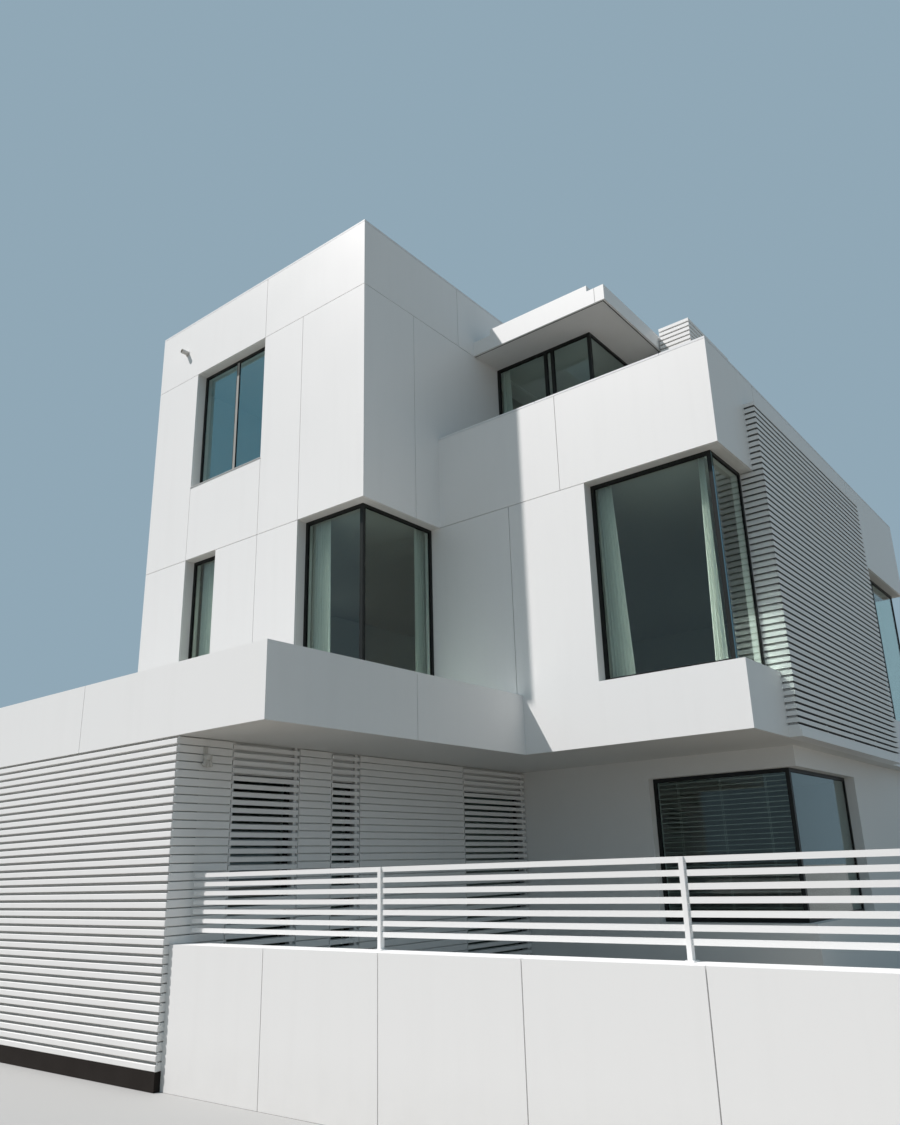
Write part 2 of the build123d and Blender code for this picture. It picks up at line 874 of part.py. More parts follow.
def railing_posts():
    """Railing posts, each slotted where the rails pass through it."""
    top = rail_rows[-1] + rail_height
    with BuildPart() as body:
        with BuildSketch(plan(boundary_height)):
            for place in post_places:
                rectangle(
                    place - post_width / 2, place + post_width / 2,
                    rail_middle - post_depth / 2, rail_middle + post_depth / 2)
        extrude(amount=top - boundary_height)
        with BuildSketch(facing_front(rail_middle + rail_depth / 2)):
            for place in post_places:
                for row in rail_rows:
                    rectangle(place - post_width / 2, place + post_width / 2, row, row + rail_height)
        extrude(amount=rail_depth, mode=Mode.SUBTRACT)
    return body.part


def railing_rails():
    """Flat rails of the railing, one above another."""
    with BuildPart() as body:
        with BuildSketch(facing_front(rail_middle + rail_depth / 2)):
            for row in rail_rows:
                rectangle(rail_end, boundary_length - rail_end, row, row + rail_height)
        extrude(amount=rail_depth)
    return body.part


def wall_lamp():
    """Small wall lamp beside the front louvre."""
    place = (front + front_louvre[0]) / 2
    outline = corners(place - lamp_width / 2, place + lamp_width / 2, lamp_bottom, lamp_top)
    return sheet(facing_right(0), outline, lamp_projection)


def tower_spout():
    """Overflow spout of the tower's roof: a short open tube."""
    with BuildPart() as body:
        with BuildSketch(facing_front(0)):
            with Locations((left + spout_offset, tower_top - spout_drop)):
                Circle(spout_radius)
                Circle(spout_radius - spout_thickness, mode=Mode.SUBTRACT)
        extrude(amount=spout_reach)
    return body.part


def curtains():
    """Plain closed forms of the curtains that hang drawn back behind the large windows."""
    inner = shell + curtain_gap
    side_start = block_setback + wall - curtain_width
    tower_start = corner_window_left - curtain_lap
    block_start = block_window_left - curtain_lap
    corner_end = block_glass_line - curtain_corner_gap
    across = [
        (window_left, narrow_window_right, inner),
        (tower_start, tower_start + curtain_width, inner),
        (block_start, block_start + curtain_width, block_setback + inner),
        (corner_end - curtain_width / 2, corner_end, block_setback + inner),
    ]
    with BuildPart() as body:
        with BuildSketch(plan(first_floor + curtain_hem)):
            for low, high, near in across:
                rectangle(low, high, near, near + curtain_depth)
            rectangle(-inner - curtain_depth, -inner, side_start, side_start + curtain_width)
        extrude(amount=second_floor - slab_thickness - first_floor - curtain_hem)
        near = penthouse_front + frame_bar + curtain_gap
        with BuildSketch(plan(second_floor + curtain_hem)):
            rectangle(frame_bar, frame_bar + curtain_width / 2, near, near + curtain_depth)
        extrude(amount=penthouse_soffit - second_floor - curtain_hem)
    return body.part


def window_blind():
    """Blind behind the front pane of the ground-storey window."""
    near = recess_front + ground_recess + frame_bar + blind_gap
    right = ground_glass_line - frame_bar
    outline = corners(ground_window_left + blind_gap, right, ground_sill, ground_head)
    return sheet(facing_front(near + blind_thickness), outline, blind_thickness)


os.makedirs("parts", exist_ok=True)
pieces = {
    "ground_floor": ground_floor(),
    "first_floor": first_slab(),
    "second_floor": second_slab(),
    "tower_roof": tower_roof(),
    "wing_front_wall": wing_front_wall(),
    "wing_side_wall": wing_side_wall(),
    "recess_wall": recess_wall(),
    "ground_side_wall": ground_side_wall(),
    "left_wall": left_wall(),
    "left_wall_piers": left_wall_piers(),
    "rear_wall": rear_wall(),
    "tower_front_wall": tower_front_wall(),
    "tower_side_wall": tower_side_wall(),
    "block_front_wall": block_front_wall(),
    "block_side_wall": block_side_wall(),
    "tower_front_panels": tower_front_panels(),
    "tower_side_panels": tower_side_panels(),
    "block_front_panels": block_front_panels(),
    "block_side_panels": block_side_panels(),
    "ledge_panels": ledge_panels(),
    "left_panels": left_panels(),
    "rear_panels": rear_panels(),
    "parapet_copings": parapet_copings(),
    "window_frames": window_frames(),
    "tower_corner_frame": corner_frame(*tower_corner),
    "block_corner_frame": corner_frame(*block_corner),
    "rear_corner_frame": corner_frame(*rear_corner),
    "ground_corner_frame": corner_frame(*ground_corner),
    "penthouse_frame": corner_frame(*penthouse_corner, penthouse_bars),
    "window_glass": window_glass(),
    "wing_plinth": wing_plinth(),
    "wing_front_slats": wing_front_slats(),
    "wing_side_boards": wing_side_boards(),
    "wing_louvres": wing_louvres(),
    "side_screen": side_screen(),
    "side_screen_trim": side_screen_trim(),
    "penthouse_roof": penthouse_roof(),
    "penthouse_walls": penthouse_walls(),
    "roof_enclosure": roof_enclosure(),
    "roof_enclosure_slats": roof_enclosure_slats(),
    "boundary_wall": boundary_wall(),
    "boundary_panels": boundary_panels(),
    "railing_posts": railing_posts(),
    "railing_rails": railing_rails(),
    "wall_lamp": wall_lamp(),
    "tower_spout": tower_spout(),
    "curtains": curtains(),
    "window_blind": window_blind(),
}
for name, piece in pieces.items():
    save(piece, name)
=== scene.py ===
"""Finishes and small fittings of a detached house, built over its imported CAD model."""

import json
import math

import bpy
from bpy.props import FloatProperty, FloatVectorProperty, IntProperty, PointerProperty
from mathutils import Matrix, Vector


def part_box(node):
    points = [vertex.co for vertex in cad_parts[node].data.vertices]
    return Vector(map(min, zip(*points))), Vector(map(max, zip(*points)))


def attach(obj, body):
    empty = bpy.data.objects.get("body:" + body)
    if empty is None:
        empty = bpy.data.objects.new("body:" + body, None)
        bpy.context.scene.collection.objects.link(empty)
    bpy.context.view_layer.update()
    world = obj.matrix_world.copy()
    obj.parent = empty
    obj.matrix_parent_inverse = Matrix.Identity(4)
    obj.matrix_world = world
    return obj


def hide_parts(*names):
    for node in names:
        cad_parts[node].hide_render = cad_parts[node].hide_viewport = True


bl_info = {
    "name": "Detached House Finishes",
    "version": (1, 0, 0),
    "blender": (4, 5, 0),
    "location": "View3D > Sidebar > House",
    "description": "Finishes, glazing beads, curtains, blind and fittings of a panel-clad house",
    "category": "Object",
}

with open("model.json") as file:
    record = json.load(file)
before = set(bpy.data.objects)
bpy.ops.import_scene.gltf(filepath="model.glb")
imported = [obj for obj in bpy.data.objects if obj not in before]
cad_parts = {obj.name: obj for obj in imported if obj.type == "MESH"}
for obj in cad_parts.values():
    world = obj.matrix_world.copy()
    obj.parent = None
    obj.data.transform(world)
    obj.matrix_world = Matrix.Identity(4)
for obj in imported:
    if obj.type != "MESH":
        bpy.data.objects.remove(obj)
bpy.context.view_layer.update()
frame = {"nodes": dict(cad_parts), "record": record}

# Ways in the part's own frame
RIGHT, LEFT, REAR, FRONT, UP, DOWN = (1, 0, 0), (-1, 0, 0), (0, 1, 0), (0, -1, 0), (0, 0, 1), (0, 0, -1)

# Where the tower's front right corner stands, and how far back the front walls reach from it
CORNER_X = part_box("tower_front_panels")[1].x
CORNER_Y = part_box("tower_front_panels")[0].y
TOWER_REACH = 1.0
BLOCK_REACH = 4.0

# Heights of the upper floors, where the ledge ends at the right, and the side screen's box
FIRST_FLOOR = 3.30
SECOND_FLOOR = 6.30
LEDGE_END = CORNER_X + 1.18
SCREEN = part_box("side_screen")


def colour(name, description, default):
    """A colour that a user can change."""
    return FloatVectorProperty(
        name=name, description=description, default=default, size=3, min=0.0, max=1.0, subtype="COLOR"
    )


def amount(name, description, default, **limits):
    """A number that a user can change."""
    return FloatProperty(name=name, description=description, default=default, **limits)


def length(name, description, default):
    """A length in metres that a user can change."""
    return amount(name, description, default, min=0.0, precision=4, subtype="DISTANCE", unit="LENGTH")


def angle(name, description, degrees):
    """An angle that a user can change, given in degrees."""
    return amount(name, description, math.radians(degrees), subtype="ANGLE")


def share(name, description, default, least=0.0, most=1.0):
    """A share of one that a user can change."""
    return amount(name, description, default, min=least, max=most)


class HouseColours(bpy.types.PropertyGroup):
    """Colours of the house's finishes."""

    panel: colour("Panels", "Coated cladding panels", (0.86, 0.86, 0.85))
    slat: colour("Slats", "Coated slats, boards and louvres", (0.85, 0.85, 0.84))
    render: colour("Render", "Fine white render", (0.84, 0.84, 0.825))
    plaster: colour("Plaster", "Painted plaster in reveals and under overhangs", (0.78, 0.78, 0.76))
    # Painted shade: the room paint is darker than the real walls, standing in for the dim rooms behind the
    # glass
    room: colour("Rooms", "Matt paint of the rooms", (0.46, 0.45, 0.42))
    soot: colour("Rain marks", "What rain leaves on pale surfaces", (0.45, 0.44, 0.41))
    frame: colour("Frames", "Coated window frames", (0.017, 0.019, 0.018))
    bead: colour("Glazing beads", "Rubber beads that hold the panes", (0.012, 0.012, 0.012))
    glass: colour("Glass", "Green cast of the panes", (0.74, 0.85, 0.80))
    # Painted reflection: this blue tints what the coated panes and the corner post's strip mirror, standing
    # in for blue sky
    coating: colour("Glass coating", "What the upper tower window's coated panes mirror", (0.45, 0.88, 1.0))
    # Painted shade: the membrane's near-black colour stands in for the shade in the side screen's gaps
    membrane: colour("Membrane", "Dark sheet behind the side screen", (0.035, 0.034, 0.034))
    backing: colour("Backing", "Grey sheet behind the wing's slats", (0.40, 0.40, 0.39))
    # Painted shade: the side screen slats' undersides are coloured dark to stand in for the shade that
    # falls under them
    underside: colour("Slat undersides", "Lower faces of the side screen's slats", (0.16, 0.16, 0.155))
    stile: colour("Stiles", "Pale face of the upper window's middle bar", (0.34, 0.345, 0.325))
    roofing: colour("Roofing", "Membrane on the upper roof", (0.46, 0.46, 0.45))
    plinth: colour("Plinth", "Dark base course", (0.016, 0.012, 0.010))
    metal: colour("Fittings", "Grey coated fittings", (0.60, 0.59, 0.56))
    coping: colour("Copings", "Coated sheet metal caps", (0.80, 0.81, 0.82))
    curtain: colour("Curtains", "Sheer fabric", (0.82, 0.82, 0.77))
    blind: colour("Blind", "Blind slats", (0.74, 0.74, 0.70))
    gravel: colour("Gravel", "Roof gravel", (0.50, 0.48, 0.45))
    paving: colour("Paving", "Terrace slabs", (0.56, 0.55, 0.53))
    timber: colour("Timber", "Floor boards", (0.34, 0.22, 0.13))


class HouseFittings(bpy.types.PropertyGroup):
    """Sizes of the pieces that are added to the CAD model."""

    bead_width: length("Bead width", "Width of a glazing bead on the pane", 0.007)
    bead_depth: length("Bead depth", "How far a glazing bead stands off the pane", 0.009)
    sill_thickness: length("Sill thickness", "Thickness of a sheet metal sill", 0.004)
    reveal: length("Reveal", "Depth of a window behind the cladding's face", 0.150)
    sill_lip: length("Sill lip", "How far a sill stands out past the wall", 0.012)
    pleat: length("Pleat", "Distance from one curtain pleat to the next", 0.048)
    pleat_depth: length("Pleat depth", "Depth of a curtain pleat", 0.046)
    gather: share("Gather", "Share of a curtain's width that is drawn in at its head", 0.30, most=0.8)
    tied_share: share("Tied share", "Share of its width that the corner curtain hangs in", 0.70, least=0.2)
    tied_gather: share("Tied gather", "The corner curtain's share drawn in at its head", 0.55, most=0.8)
    blind_pitch: length("Blind pitch", "Distance from one blind slat to the next", 0.057)
    blind_width: length("Blind slat", "Width of a blind slat", 0.046)
    blind_tilt: angle("Blind tilt", "Turn of the blind slats", 4)
    ladders: IntProperty(
        name="Ladders", description="Cords that carry the blind slats", default=3, min=2, max=6
    )
    plate_margin: length("Base plate margin", "How far a base plate stands out past its post", 0.018)
    plate_thickness: length("Plate thickness", "Thickness of a base plate", 0.006)
    bolt: length("Bolt head", "Radius of a bolt head", 0.0045)
    edge: length("Eased edge", "Rounding of small metal edges", 0.001)
    spout: length("Spout", "Radius of the overflow spout", 0.034)
    fascia_joint: length("Fascia joint", "Distance of the fascia's joint from its corner", 0.150)
    sealant: length("Sealant", "Width of the bead of sealant", 0.007)
    kerb: length("Kerb", "Height of the kerb on the upper roof", 0.095)


class HouseStage(bpy.types.PropertyGroup):
    """Camera, light and ground."""

    camera_place: FloatVectorProperty(
        name="Camera", description="Where the camera stands", default=(5.642, -10.755, 1.63),
        subtype="XYZ", unit="LENGTH",
    )
    yaw: angle("Yaw", "Turn from the rear towards the left", 37.467)
    pitch: angle("Pitch", "Tilt above the horizon", 17.924)
    roll: angle("Roll", "Roll about the view", -1.767)
    lens: amount("Lens", "Focal length in millimetres", 28.896, min=1.0)
    shift_x: amount("Shift X", "Sideways shift of the picture", -0.012)
    shift_y: amount("Shift Y", "Upward shift of the picture", 0.013)
    floor: colour("Floor", "Plain pale floor", (0.42, 0.42, 0.41))
    bounce: colour("Bounce", "What the floor gives back to the house", (0.235, 0.215, 0.185))
    background: colour("Background", "Plain background", (0.28, 0.39, 0.47))
    soft_light: colour("Soft light's colour", "Colour of the light from all round", (0.62, 0.84, 1.0))
    key_light: colour("Key light's colour", "Colour of the light from the front left", (1.0, 0.95, 0.93))
    sky: amount("Soft light", "Strength of the light from all round", 0.37, min=0.0)
    sun: amount("Key light", "Strength of the light from the front left", 4.12, min=0.0)
    sun_softness: angle("Key softness", "Angle that the key light fills", 1.2)
    sun_turn: angle("Key turn", "Turn of the key light from the front to the left", 42.3)
    sun_height: angle("Key height", "Height of the key light above the horizon", 51.9)


# Node groups


def new_group(name, inputs, outputs):
    """A shader node group with number inputs and outputs, and its nodes at both ends."""
    group = bpy.data.node_groups.new(name, "ShaderNodeTree")
    for label, default in inputs.items():
        socket = group.interface.new_socket(name=label, in_out="INPUT", socket_type="NodeSocketFloat")
        socket.default_value = default
    for label in outputs:
        group.interface.new_socket(name=label, in_out="OUTPUT", socket_type="NodeSocketFloat")
    return group, group.nodes.new("NodeGroupInput"), group.nodes.new("NodeGroupOutput")


def feed(tree, node, entry, value):
    """Give a node's input a value of its own, or link it to a (node, output) pair."""
    if isinstance(value, tuple) and isinstance(value[0], bpy.types.Node):
        tree.links.new(value[0].outputs[value[1]], node.inputs[entry])
    else:
        node.inputs[entry].default_value = value


def add(tree, kind, inputs=None):
    """Add a shader node and feed its inputs."""
    node = tree.nodes.new(f"ShaderNode{kind}")
    for entry, value in (inputs or {}).items():
        feed(tree, node, entry, value)
    return node


def object_place(tree):
    """Object coordinates."""
    return add(tree, "TexCoord"), "Object"


def reckoned(tree, operation, first, second, clamp=False):
    """A Math node's value."""
    node = add(tree, "Math", {0: first, 1: second})
    node.operation = operation
    node.use_clamp = clamp
    return node, "Value"


def noise(tree, place, scale, detail):
    """Noise over a place."""
    return add(tree, "TexNoise", {"Vector": place, "Scale": scale, "Detail": detail}), "Fac"


def part_of(tree, start, entry, part):
    """One part of a vector or a colour."""
    kind = "XYZ" if entry == "Vector" else "Color"
    return add(tree, f"Separate{kind}", {entry: start}), part


def fine_grain():
    """Fine surface grain: a height for bumps and a gentle tone."""
    group, enter, leave = new_group("Fine grain", {"Scale": 40.0, "Depth": 1.0}, ("Height", "Tone"))
    place = object_place(group)
    fine = noise(group, place, (enter, "Scale"), 4.0)
    feed(group, leave, "Height", reckoned(group, "MULTIPLY", fine, (enter, "Depth")))
    feed(group, leave, "Tone", noise(group, place, 0.9, 2.0))
    return group


def rain_marks():
    """Soft upright marks that rain leaves, as a mask."""
    group, enter, leave = new_group("Rain marks", {"Amount": 0.2}, ("Mask",))
    stretch = add(group, "Mapping", {"Vector": object_place(group), "Scale": (3.2, 3.2, 0.22)})
    streaks = noise(group, (stretch, "Vector"), 2.4, 5.0)
    kept = reckoned(group, "SUBTRACT", streaks, 0.50, clamp=True)
    strong = reckoned(group, "MULTIPLY", kept, 4.0, clamp=True)
    feed(group, leave, "Mask", reckoned(group, "MULTIPLY", strong, (enter, "Amount")))
    return group


def splash_band():
    """Dust and splash near the ground, as a mask that fades with height."""
    group, enter, leave = new_group("Splash band", {"Top": 0.5, "Amount": 0.4}, ("Mask",))
    place = object_place(group)
    climb = reckoned(group, "DIVIDE", part_of(group, place, "Vector", "Z"), (enter, "Top"))
    faded = reckoned(group, "SUBTRACT", 1.0, climb, clamp=True)
    broken = reckoned(group, "MULTIPLY", faded, noise(group, place, 5.0, 5.0))
    feed(group, leave, "Mask", reckoned(group, "MULTIPLY", broken, (enter, "Amount")))
    return group


def settled_dust():
    """Dust that settles on faces that look up, as a mask."""
    group, enter, leave = new_group("Settled dust", {"Amount": 1.0}, ("Mask",))
    height = part_of(group, (add(group, "NewGeometry"), "Normal"), "Vector", "Z")
    upward = reckoned(group, "SUBTRACT", height, 0.3, clamp=True)
    broken = reckoned(group, "MULTIPLY", upward, noise(group, object_place(group), 3.0, 5.0))
    feed(group, leave, "Mask", reckoned(group, "MULTIPLY", broken, (enter, "Amount"), clamp=True))
    return group


def laid_joints():
    """Joints of laid slabs or boards: a mask of the joints and a tone for each slab."""
    inputs = {"Length": 0.6, "Width": 0.6, "Gap": 0.004}
    group, enter, leave = new_group("Laid joints", inputs, ("Joint", "Tone"))
    inputs = {
        "Vector": object_place(group),
        "Color1": (0.25, 0.25, 0.25, 1),
        "Color2": (0.75, 0.75, 0.75, 1),
        "Mortar": (0, 0, 0, 1),
        "Scale": 1.0,
        "Mortar Size": (enter, "Gap"),
        "Mortar Smooth": 0.1,
        "Brick Width": (enter, "Length"),
        "Row Height": (enter, "Width"),
    }
    laid = add(group, "TexBrick", inputs)
    laid.offset = 0.5
    feed(group, leave, "Joint", (laid, "Fac"))
    feed(group, leave, "Tone", part_of(group, (laid, "Color"), "Color", "Red"))
    return group


def pebbles():
    """Loose pebbles: a height and a tone for each one."""
    group, enter, leave = new_group("Pebbles", {"Scale": 28.0}, ("Height", "Tone"))
    cells = add(group, "TexVoronoi", {"Vector": object_place(group), "Scale": (enter, "Scale")})
    feed(group, leave, "Height", reckoned(group, "SUBTRACT", 1.0, (cells, "Distance")))
    feed(group, leave, "Tone", part_of(group, (cells, "Color"), "Color", "Red"))
    return group


def cloth_weave():
    """Upright and level threads of a light cloth, as a height."""
    group, enter, leave = new_group("Cloth weave", {"Threads": 900.0}, ("Height",))
    place = object_place(group)
    threads = []
    for direction in ("X", "Z"):
        wave = add(group, "TexWave", {"Vector": place, "Scale": (enter, "Threads")})
        wave.bands_direction = direction
        threads.append((wave, "Fac"))
    feed(group, leave, "Height", reckoned(group, "ADD", *threads))
    return group


# Materials

# The colour inputs of a Mix node and its colour output
BELOW, ABOVE, MIXED = 6, 7, 2

# How strongly the panes with the painted sky reflection mirror, and what any pane lets through to a shadow
PAINTED_REFLECTION_IOR = 2.9
LET_THROUGH = (0.80, 0.84, 0.82, 1)


class Finish:
    """A material under construction: its tree, its shader and what feeds them."""

    def __init__(self, name, base, roughness, shared=None, values=None):
        self.material = bpy.data.materials.new(name)
        self.material.use_nodes = True
        self.tree = self.material.node_tree
        self.shader = self.tree.nodes["Principled BSDF"]
        self.shared = shared
        self.base = base
        self.top = (*base, 1)
        self.fill({"Base Color": self.top, "Roughness": roughness} | (values or {}))

    def fill(self, inputs):
        """Feed the shader's inputs."""
        for entry, value in inputs.items():
            feed(self.tree, self.shader, entry, value)

    def effect(self, name, **values):
        """Place a shared effect with this finish's own values."""
        node = self.tree.nodes.new("ShaderNodeGroup")
        node.node_tree = self.shared[name]
        for label, value in values.items():
            node.inputs[label].default_value = value
        return node

    def tint(self, other, mask):
        """Mix another colour into the base where a mask is strong."""
        mix = add(self.tree, "Mix")
        mix.data_type = "RGBA"
        for entry, value in ((BELOW, self.top), (ABOVE, (*other, 1)), ("Factor", mask)):
            feed(self.tree, mix, entry, value)
        self.top = (mix, MIXED)
        self.fill({"Base Color": self.top})

    def darken(self, part, mask):
        """Bring the base down to a part of its colour where a mask is strong."""
        self.tint(tuple(channel * part for channel in self.base), mask)

    def soil(self, name, **values):
        """Mix the rain's dirt into the base by a shared effect."""
        self.tint(self.shared["soot"], (self.effect(name, **values), "Mask"))

    def bump(self, height, strength, distance):
        """Raise the surface by a height."""
        inputs = {"Height": height, "Strength": strength, "Distance": distance}
        self.fill({"Normal": (add(self.tree, "Bump", inputs), "Normal")})

    def rough(self, tone, low, high):
        """Let the roughness follow a tone."""
        spread = add(self.tree, "MapRange", {"Value": tone, "To Min": low, "To Max": high})
        self.fill({"Roughness": (spread, "Result")})


def coated_finish(name, base, shared, marks=0.10, splash=0.0, dust=0.0, low=0.34, high=0.46):
    """Smooth coated panel or bar, with faint rain marks."""
    finish = Finish(name, base, 0.4, shared)
    grain = finish.effect("grain", Scale=60.0, Depth=0.4)
    finish.rough((grain, "Tone"), low, high)
    if marks:
        finish.soil("rain", Amount=marks)
    if splash:
        finish.soil("splash", Top=0.45, Amount=splash)
    if dust:
        finish.soil("dust", Amount=dust)
    finish.bump((grain, "Height"), 0.06, 0.002)


def render_finish(name, base, shared, splash=0.0, gloss=0.5):
    """Fine render or plaster."""
    finish = Finish(name, base, 0.85, shared, {"Specular IOR Level": gloss})
    grain = finish.effect("grain", Scale=220.0, Depth=1.0)
    if splash:
        finish.soil("splash", Top=0.5, Amount=splash)
    finish.bump((grain, "Height"), 0.18, 0.002)


def dark_finish(name, base, shared, roughness):
    """Dark coated metal or rubber."""
    finish = Finish(name, base, roughness, shared, {"Specular IOR Level": 0.2})
    grain = finish.effect("grain", Scale=90.0, Depth=0.3)
    finish.rough((grain, "Tone"), roughness - 0.05, roughness + 0.08)
    finish.bump((grain, "Height"), 0.05, 0.001)


def glass_finish(name, base, shared, shine, coated=False):
    """Clear pane with a green cast that lets the key light through; a coated pane also gets a painted sky
    reflection, strong and blue tinted.
    """
    cast = shared["coating"] if coated else (1, 1, 1)
    values = {"Transmission Weight": 1.0, "IOR": shine, "Specular Tint": (*cast, 1)}
    finish = Finish(name, base, 0.0, shared, values)
    shadow = (add(finish.tree, "LightPath"), "Is Shadow Ray")
    clear = (add(finish.tree, "BsdfTransparent", {"Color": LET_THROUGH}), "BSDF")
    mix = add(finish.tree, "MixShader", {0: shadow, 1: (finish.shader, "BSDF"), 2: clear})
    feed(finish.tree, finish.tree.nodes["Material Output"], "Surface", (mix, "Shader"))


def sky_reflection_strip_finish(name, base, shared, shine):
    """Dark post strip with a painted sky reflection: a strong, blue tinted shine."""
    values = {"IOR": shine, "Specular Tint": (*shared["coating"], 1)}
    finish = Finish(name, base, 0.05, shared, values)
    finish.rough((finish.effect("grain", Scale=90.0, Depth=0.3), "Tone"), 0.02, 0.08)


def gravel_finish(name, base, shared):
    """Loose roof gravel."""
    finish = Finish(name, base, 0.9, shared)
    stones = finish.effect("pebbles", Scale=26.0)
    finish.darken(0.45, (stones, "Tone"))
    finish.bump((stones, "Height"), 0.8, 0.02)


def laid_finish(name, base, shared, size, roughness):
    """Slabs or boards laid in rows; the size is their length, their width and the gap."""
    finish = Finish(name, base, roughness, shared)
    joints = finish.effect("laid", Length=size[0], Width=size[1], Gap=size[2])
    finish.darken(0.80, (joints, "Tone"))
    finish.darken(0.25, (joints, "Joint"))
    finish.bump((finish.effect("grain", Scale=70.0, Depth=0.6), "Height"), 0.12, 0.002)


def curtain_finish(name, base, shared):
    """Light sheer cloth."""
    finish = Finish(name, base, 0.92, shared, {"Sheen Weight": 0.25})
    weave = finish.effect("weave", Threads=700.0)
    finish.darken(0.88, (finish.effect("grain", Scale=8.0, Depth=1.0), "Tone"))
    finish.bump((weave, "Height"), 0.15, 0.0005)


# Every finish: what mixes it, its colour among the house's colours, and its own values
FINISHES = {
    "White panel": (coated_finish, "panel", {"marks": 0.03}),
    "Forecourt panel": (coated_finish, "panel", {"marks": 0.03, "splash": 0.2}),
    "White slat": (coated_finish, "slat", {"marks": 0.05, "dust": 0.3, "low": 0.45, "high": 0.6}),
    "Slat underside": (coated_finish, "underside", {"marks": 0.0, "low": 0.6, "high": 0.7}),
    "White railing": (coated_finish, "slat", {"marks": 0.0, "low": 0.3, "high": 0.4}),
    "Coping": (coated_finish, "coping", {"marks": 0.15, "dust": 1.2}),
    "Blind slat": (coated_finish, "blind", {"marks": 0.0}),
    "White render": (render_finish, "render", {"splash": 0.25}),
    "Plaster": (render_finish, "plaster", {}),
    "Room paint": (render_finish, "room", {}),
    "Grey backing": (render_finish, "backing", {}),
    "Dark plinth": (render_finish, "plinth", {"splash": 0.03, "gloss": 0.15}),
    "Dark frame": (dark_finish, "frame", {"roughness": 0.38}),
    "Pale stile": (dark_finish, "stile", {"roughness": 0.45}),
    "Black bead": (dark_finish, "bead", {"roughness": 0.6}),
    "Dark membrane": (dark_finish, "membrane", {"roughness": 0.75}),
    "Grey fitting": (dark_finish, "metal", {"roughness": 0.42}),
    "Green glass": (glass_finish, "glass", {"shine": 1.45}),
    "Coated glass": (glass_finish, "glass", {"shine": PAINTED_REFLECTION_IOR, "coated": True}),
    "Pane edge": (sky_reflection_strip_finish, "frame", {"shine": PAINTED_REFLECTION_IOR}),
    "Sheer curtain": (curtain_finish, "curtain", {}),
    "Roof gravel": (gravel_finish, "gravel", {}),
    "Terrace slabs": (laid_finish, "paving", {"size": (0.6, 0.6, 0.005), "roughness": 0.75}),
    "Floor boards": (laid_finish, "timber", {"size": (1.8, 0.14, 0.002), "roughness": 0.5}),
    "Roof membrane": (laid_finish, "roofing", {"size": (4.0, 1.0, 0.006), "roughness": 0.8}),
}


class HOUSE_OT_mix_finishes(bpy.types.Operator):
    """Mix every finish of the house from its shared effects"""

    bl_idname = "house.mix_finishes"
    bl_label = "Mix Finishes"

    def execute(self, context):
        hues = context.scene.house_colours
        shared = {
            "grain": fine_grain(),
            "rain": rain_marks(),
            "splash": splash_band(),
            "dust": settled_dust(),
            "laid": laid_joints(),
            "pebbles": pebbles(),
            "weave": cloth_weave(),
            "soot": tuple(hues.soot),
            "coating": tuple(hues.coating),
        }
        for name, (mixed, hue, values) in FINISHES.items():
            mixed(name, tuple(getattr(hues, hue)), shared, **values)
        return {"FINISHED"}


SLOT_FINISH = {
    "white_panel": "White panel",
    "white_slat": "White slat",
    "render": "White render",
    "plaster": "Plaster",
    "concrete": "Plaster",
    "backing": "Grey backing",
    "plinth": "Dark plinth",
    "coping": "Coping",
    "dark_frame": "Dark frame",
    "glass": "Green glass",
    "railing": "White railing",
    "lamp": "Grey fitting",
    "curtain": "Sheer curtain",
    "blind": "Blind slat",
}

# Nodes whose finish differs from their slot's
OWN_FINISH = {"boundary_panels": "Forecourt panel", "wing_side_wall": "White render"}

# The walls by the way that their room side faces
ROOM_SIDES = {
    REAR: ("wing_front_wall", "recess_wall", "tower_front_wall", "block_front_wall"),
    LEFT: ("wing_side_wall", "ground_side_wall", "tower_side_wall", "block_side_wall"),
    RIGHT: ("left_wall", "left_wall_piers"),
    FRONT: ("rear_wall",),
}

# What lies on each slab
FLOORS = {
    "ground_floor": "Terrace slabs",
    "second_floor": "Terrace slabs",
    "first_floor": "Floor boards",
    "tower_roof": "Roof gravel",
}


def looks(face, way):
    """Whether a face looks one way."""
    return face.normal.dot(Vector(way)) > 0.5


def cover(mesh, *names):
    """Give a mesh its finishes, the first on all its faces."""
    mesh.materials.clear()
    for name in names:
        mesh.materials.append(bpy.data.materials[name])
    mesh.polygons.foreach_set("material_index", [0] * len(mesh.polygons))


def paint(node, *names):
    """Give a CAD node its finishes."""
    mesh = frame["nodes"][node].data
    cover(mesh, *names)
    return mesh


def paint_where(node, first, second, test):
    """Give a CAD node a second finish on the faces that pass a test."""
    mesh = paint(node, first, second)
    for polygon in mesh.polygons:
        polygon.material_index = int(test(polygon, [mesh.vertices[index].co for index in polygon.vertices]))


